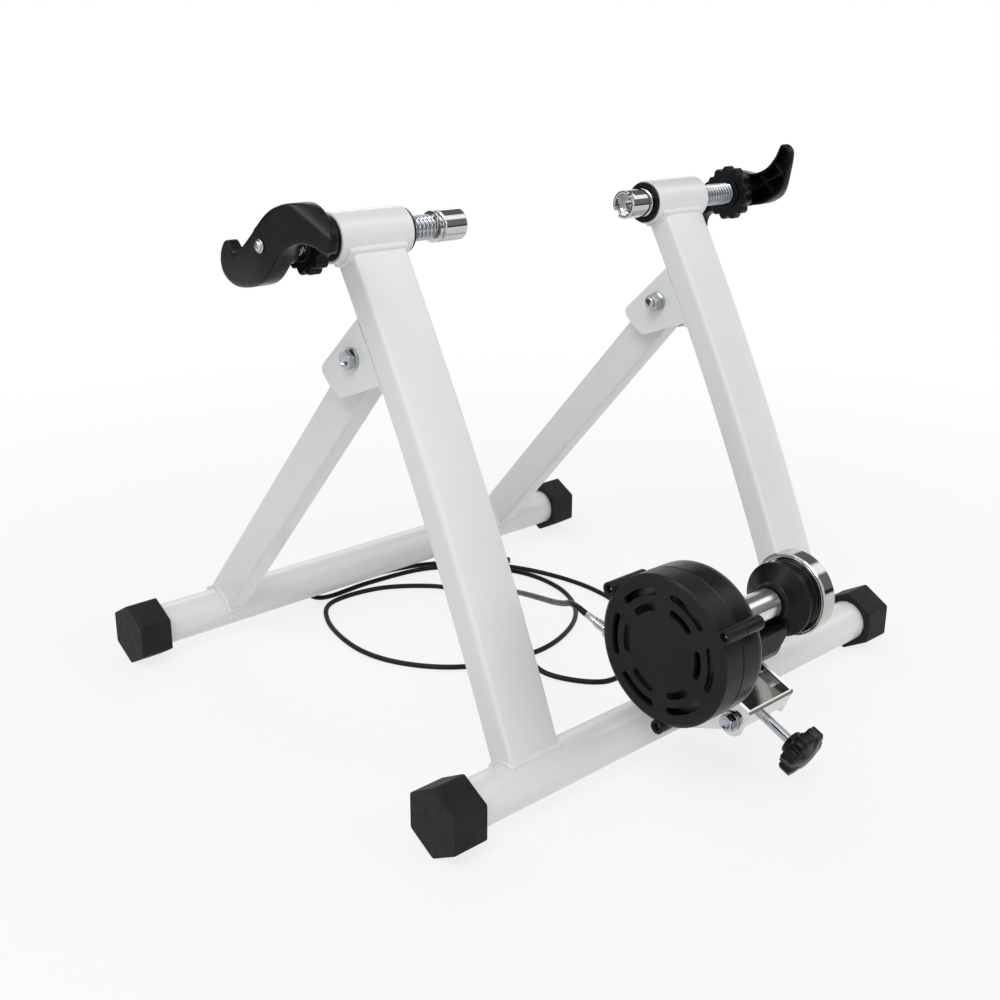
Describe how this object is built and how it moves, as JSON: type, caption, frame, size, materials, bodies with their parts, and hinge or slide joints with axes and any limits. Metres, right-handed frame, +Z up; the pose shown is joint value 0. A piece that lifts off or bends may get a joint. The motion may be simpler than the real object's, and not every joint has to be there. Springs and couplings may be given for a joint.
{
  "type": "turbo trainer stand",
  "caption": "Folding stand that holds a bicycle's rear axle between two threaded cups and presses its tyre on a roller with a magnetic brake and flywheel.",
  "frame": {"origin": "middle of the stand's footprint, on the floor", "axes": "+X along the wheel axle, -Y towards the roller unit, +Z up"},
  "size_m": [0.5836, 0.582, 0.4564],
  "materials": {
    "white_paint": "gloss white paint",
    "black_plastic": "black moulded plastic",
    "grey_plastic": "dark grey moulded plastic",
    "black_rubber": "black rubber",
    "zinc": "zinc plated",
    "chrome": "chrome plated",
    "brushed_steel": "bright turned steel",
    "bright_plate": "bright nickel plated",
    "aluminium": "bare aluminium",
    "cable_sheath": "black cable sheath"
  },
  "bodies": {
    "frame": {"ground_bar_front": "white_paint", "foot_front_left": "black_rubber", "foot_front_right": "black_rubber", "upright_left": "white_paint", "upright_right": "white_paint", "sleeve_left": "white_paint", "sleeve_right": "white_paint", "bushing_left_outer": "black_plastic", "bushing_left_inner": "black_plastic", "bushing_right_outer": "black_plastic", "bushing_right_inner": "black_plastic", "hinge_bracket_left": "white_paint", "hinge_bracket_right": "white_paint", "hinge_bolt_left": "zinc", "hinge_nut_left": "zinc", "hinge_bolt_right": "zinc", "hinge_nut_right": "zinc", "unit_carrier": "bright_plate", "cross_pin": "zinc", "pivot_pin": "zinc", "control_cable": "cable_sheath", "lever_body": "black_plastic"},
    "rear_legs": {"ground_bar_rear": "white_paint", "foot_rear_left": "black_rubber", "foot_rear_right": "black_rubber", "leg_left": "white_paint", "leg_right": "white_paint", "hinge_spacer_left_outer": "zinc", "hinge_spacer_left_inner": "zinc", "hinge_spacer_right_outer": "zinc", "hinge_spacer_right_inner": "zinc"},
    "cup_left": {"axle_cup_left": "chrome"},
    "clamp_left": {"clamp_rod_left": "zinc", "handle_left": "black_plastic", "handle_screw_left": "chrome"},
    "nut_left": {"lock_nut_left": "black_plastic"},
    "cup_right": {"axle_cup_right": "chrome"},
    "clamp_right": {"clamp_rod_right": "zinc", "handle_right": "black_plastic", "handle_screw_right": "chrome"},
    "nut_right": {"lock_nut_right": "black_plastic"},
    "unit": {"housing_cover": "grey_plastic", "unit_body": "black_plastic", "swing_arm": "black_plastic", "cable_adjuster": "aluminium"},
    "spinner": {"roller": "brushed_steel", "shaft": "zinc", "flywheel": "chrome", "flywheel_core": "black_plastic", "rotor_disc": "aluminium"},
    "magnets": {"magnet_plate": "zinc"},
    "screw": {"adjusting_screw": "zinc"},
    "knob": {"star_knob": "black_plastic"},
    "lever": {"lever_arm": "black_plastic"}
  },
  "joints": [
    {"name": "rear_legs_fold", "type": "hinge", "parent": "frame", "child": "rear_legs", "pos_m": [-0.01075, 0.01206, 0.322], "axis": [-1, 0, 0], "range_deg": [0, 62], "deforming": ["control_cable"]},
    {"name": "clamp_left_travel", "type": "slide", "parent": "frame", "child": "cup_left", "axis": [1, 0, 0], "range_m": [-0.03, 0.003]},
    {"name": "clamp_left_turn", "type": "hinge", "parent": "cup_left", "child": "clamp_left", "pos_m": [-0.01075, 0.02576, 0.4117], "axis": [1, 0, 0], "range_deg": [-2700, 270]},
    {"name": "nut_left_travel", "type": "slide", "parent": "clamp_left", "child": "nut_left", "axis": [1, 0, 0], "range_m": [-0.0046, 0.0027]},
    {"name": "clamp_right_travel", "type": "slide", "parent": "frame", "child": "cup_right", "axis": [-1, 0, 0], "range_m": [0, 0.03]},
    {"name": "clamp_right_turn", "type": "hinge", "parent": "cup_right", "child": "clamp_right", "pos_m": [-0.01075, 0.02576, 0.4117], "axis": [-1, 0, 0], "range_deg": [0, 2700]},
    {"name": "nut_right_travel", "type": "slide", "parent": "clamp_right", "child": "nut_right", "axis": [-1, 0, 0], "range_m": [0, 0.012]},
    {"name": "unit_swing", "type": "hinge", "parent": "frame", "child": "unit", "pos_m": [-0.01075, -0.19194, 0.039], "axis": [-1, 0, 0], "range_deg": [-3, 8], "deforming": ["control_cable"]},
    {"name": "roller_spin", "type": "hinge", "parent": "unit", "child": "spinner", "pos_m": [-0.01075, -0.22834, 0.134], "axis": [1, 0, 0], "continuous": true},
    {"name": "magnet_travel", "type": "slide", "parent": "unit", "child": "magnets", "axis": [-1, 0, 0], "range_m": [0, 0.005]},
    {"name": "screw_travel", "type": "slide", "parent": "frame", "child": "screw", "axis": [0, 0.9205, 0.3907], "range_m": [-0.0014, 0.0036]},
    {"name": "knob_turn", "type": "hinge", "parent": "screw", "child": "knob", "pos_m": [-0.00725, -0.23294, 0.049], "axis": [0, 0.9205, 0.3907], "range_deg": [-240, 635]},
    {"name": "lever_turn", "type": "hinge", "parent": "frame", "child": "lever", "pos_m": [0.08725, 0.17406, 0.0163], "axis": [0, 0, 1], "range_deg": [0, 100]}
  ],
  "couplings": [
    {"joint": "clamp_left_travel", "follows": "clamp_left_turn", "m_per_rad": 0.00063662},
    {"joint": "clamp_right_travel", "follows": "clamp_right_turn", "m_per_rad": 0.00063662},
    {"joint": "screw_travel", "follows": "unit_swing", "m_per_rad": 0.025},
    {"joint": "knob_turn", "follows": "unit_swing", "ratio": 78.54},
    {"joint": "lever_turn", "follows": "magnet_travel", "rad_per_m": 348.72}
  ]
}
